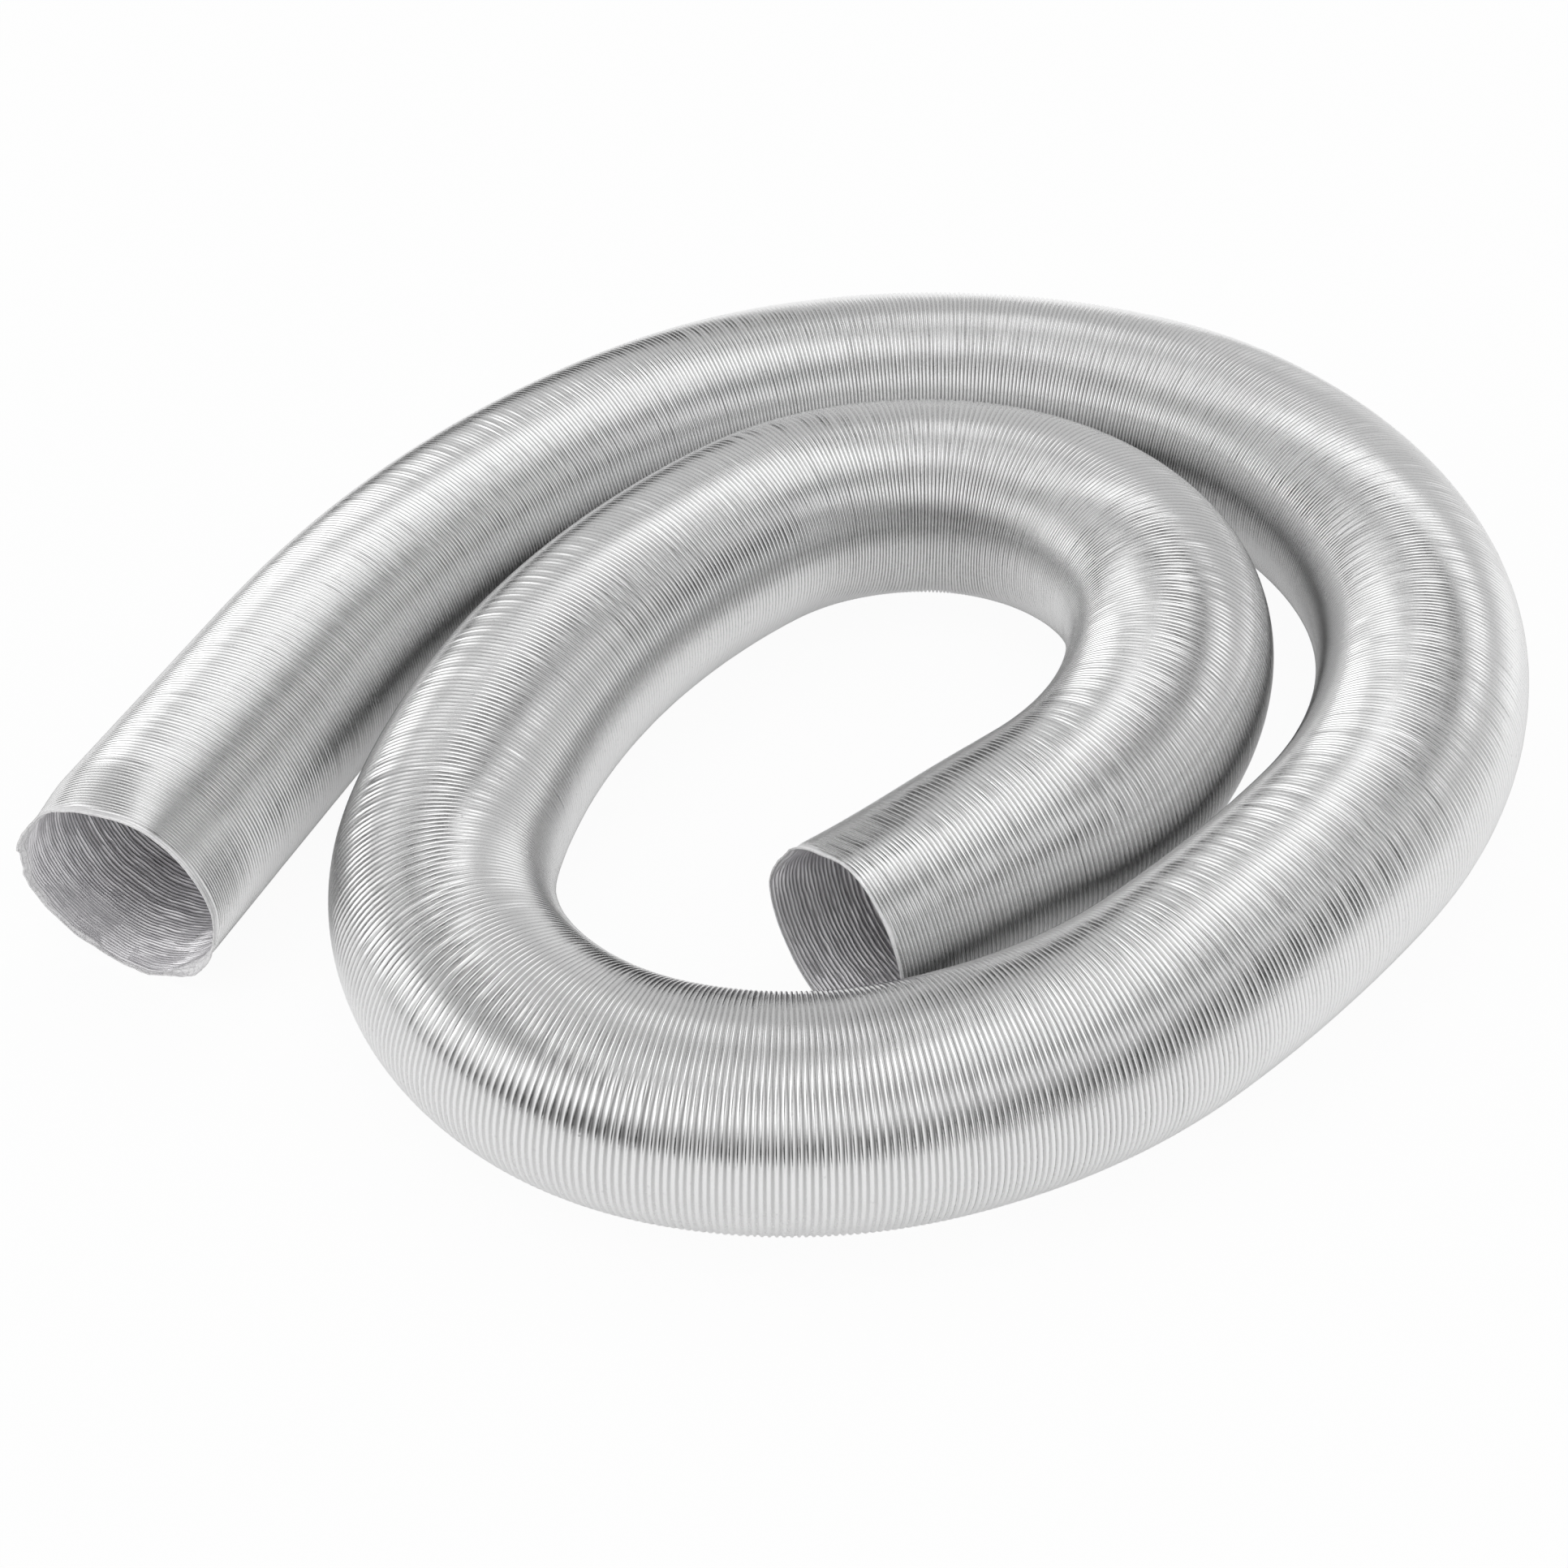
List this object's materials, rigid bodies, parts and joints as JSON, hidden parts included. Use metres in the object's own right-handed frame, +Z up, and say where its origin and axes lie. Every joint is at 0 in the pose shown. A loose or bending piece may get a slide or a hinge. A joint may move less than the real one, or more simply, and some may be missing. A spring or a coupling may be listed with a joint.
{
  "type": "flexible air duct",
  "caption": "Finely pleated foil and paper laminate air duct with two open hand-cut ends, laid on the floor in one and a half flat turns.",
  "frame": {"origin": "on the floor, under the middle of the laid duct's box", "axes": "+Z up; +X along the laid duct's longest side; the inner mouth and the front loop are towards -Y"},
  "size_m": [0.5748, 0.5194, 0.082],
  "materials": {
    "outer_foil": "bright rolled foil, finely pleated",
    "kraft_paper": "unbleached kraft paper",
    "inner_foil": "crinkled rolled foil"
  },
  "bodies": {
    "coil": {"coil": "outer_foil", "outer_bend": "outer_foil", "inner_bend": "outer_foil"},
    "outer_run": {"run_outer_foil": "outer_foil", "run_kraft_paper": "kraft_paper", "run_inner_foil": "inner_foil", "stretch_pleats": "outer_foil"},
    "outer_cuff": {"mouth_outer_foil": "outer_foil", "mouth_kraft_paper": "kraft_paper", "mouth_inner_foil": "inner_foil"},
    "inner_end": {"inner_end_outer_foil": "outer_foil", "inner_end_kraft_paper": "kraft_paper", "inner_end_inner_foil": "inner_foil"}
  },
  "joints": [
    {"name": "outer_end_swing", "type": "hinge", "parent": "coil", "child": "outer_run", "pos_m": [-0.17701, 0.05433, 0.04075], "axis": [0, 0, -1], "range_deg": [-5, 45], "deforming": ["outer_bend"]},
    {"name": "outer_end_stretch", "type": "slide", "parent": "outer_run", "child": "outer_cuff", "axis": [-0.3907, -0.9205, 0], "range_m": [0, 0.048], "deforming": ["stretch_pleats"]},
    {"name": "inner_end_swing", "type": "hinge", "parent": "coil", "child": "inner_end", "pos_m": [0.12052, -0.04196, 0.04075], "axis": [0, 0, -1], "range_deg": [0, 30], "deforming": ["inner_bend"]}
  ]
}
